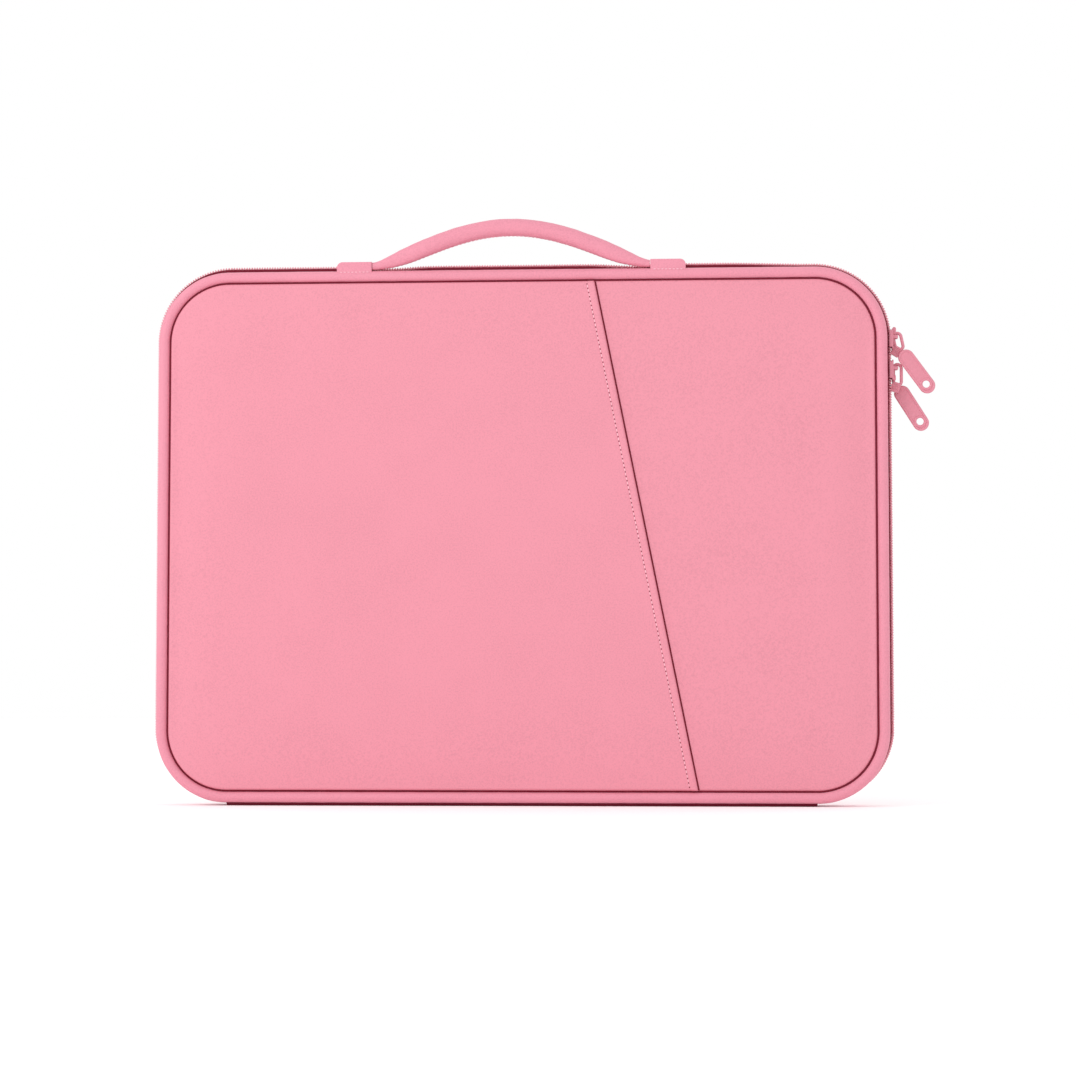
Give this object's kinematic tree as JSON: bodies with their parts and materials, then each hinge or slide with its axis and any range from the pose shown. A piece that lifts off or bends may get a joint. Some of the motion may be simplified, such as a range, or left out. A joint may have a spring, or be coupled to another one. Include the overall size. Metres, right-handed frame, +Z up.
{
  "type": "laptop sleeve",
  "caption": "Padded zip-round laptop sleeve with a slanted front pocket, piped edges, an arched roll handle on top and twin zip pulls.",
  "frame": {"origin": "centre of the bottom spine's lower face, on the surface that the sleeve stands on", "axes": "+Z up, +X to the right of someone facing the pocket, +Y from the front face to the back"},
  "size_m": [0.3838, 0.0297, 0.2885],
  "materials": {
    "panel_leather": "fine-grained pink PU leather, matt",
    "trim_leather": "fine-grained pink PU leather, satin",
    "lining": "short brushed plush",
    "foam": "soft foam padding",
    "zip_tape": "woven zip tape",
    "zip_coil": "moulded nylon coil",
    "pull_paint": "matt enamelled die casting"
  },
  "bodies": {
    "rear_shell": {"rear_panel": "panel_leather", "rear_padding": "foam", "rear_lining": "lining", "rear_piping": "trim_leather", "gusset_upper_left": "panel_leather", "gusset_upper_right": "panel_leather", "gusset_lower_left": "panel_leather", "gusset_lower_right": "panel_leather", "gusset_left": "panel_leather", "gusset_top": "panel_leather", "gusset_right": "panel_leather", "gusset_lining_upper_left": "lining", "gusset_lining_upper_right": "lining", "gusset_lining_lower_left": "lining", "gusset_lining_lower_right": "lining", "gusset_lining_left": "lining", "gusset_lining_top": "lining", "gusset_lining_right": "lining", "gusset_lining_bottom": "lining", "bottom_spine": "panel_leather", "rear_zip_tape": "zip_tape", "rear_zip_teeth": "zip_coil", "zip_end_cover_left": "panel_leather", "zip_end_cover_right": "panel_leather"},
    "lid": {"front_panel": "panel_leather", "pocket_panel": "panel_leather", "front_padding": "foam", "front_lining": "lining", "front_piping": "trim_leather", "front_zip_tape": "zip_tape", "front_zip_teeth_left": "zip_coil", "front_zip_teeth_corner": "zip_coil", "front_zip_teeth_right": "zip_coil", "handle_tab_left": "trim_leather", "handle_tab_right": "trim_leather"},
    "handle": {"handle_cover": "trim_leather", "handle_core": "foam", "handle_end_left": "trim_leather", "handle_end_right": "trim_leather"},
    "upper_slider": {"upper_slider_body": "pull_paint", "upper_slider_bridge": "pull_paint"},
    "upper_ring": {"upper_pull_ring": "pull_paint"},
    "upper_pull": {"upper_pull_clip": "pull_paint", "upper_pull_tab": "pull_paint"},
    "lower_slider": {"lower_slider_body": "pull_paint", "lower_slider_bridge": "pull_paint"},
    "lower_ring": {"lower_pull_ring": "pull_paint"},
    "lower_pull": {"lower_pull_clip": "pull_paint", "lower_pull_tab": "pull_paint"}
  },
  "joints": [
    {"name": "lid_open", "type": "hinge", "parent": "rear_shell", "child": "lid", "pos_m": [0, -0.014, 0.001], "axis": [1, 0, 0], "range_deg": [0, 90]},
    {"name": "handle_swing", "type": "hinge", "parent": "lid", "child": "handle", "pos_m": [0, -0.0112, 0.2662], "axis": [1, 0, 0], "range_deg": [-45, 75]},
    {"name": "upper_slider_run", "type": "hinge", "parent": "rear_shell", "child": "upper_slider", "pos_m": [0.1445, -0.005, 0.2285], "axis": [0, -1, 0], "range_deg": [0, 88]},
    {"name": "upper_ring_swing", "type": "hinge", "parent": "upper_slider", "child": "upper_ring", "pos_m": [0.18505, -0.005, 0.2295], "axis": [0, -1, 0], "range_deg": [0, 85]},
    {"name": "upper_pull_swing", "type": "hinge", "parent": "upper_ring", "child": "upper_pull", "pos_m": [0.18601, -0.005, 0.225], "axis": [0, -1, 0], "range_deg": [0, 75]},
    {"name": "lower_slider_run", "type": "slide", "parent": "rear_shell", "child": "lower_slider", "axis": [0, 0, -1], "range_m": [0, 0.17]},
    {"name": "lower_ring_swing", "type": "hinge", "parent": "lower_slider", "child": "lower_ring", "pos_m": [0.18505, -0.005, 0.2141], "axis": [0, -1, 0], "range_deg": [0, 95]},
    {"name": "lower_pull_swing", "type": "hinge", "parent": "lower_ring", "child": "lower_pull", "pos_m": [0.18505, -0.005, 0.2075], "axis": [0, -1, 0], "range_deg": [0, 70]}
  ]
}
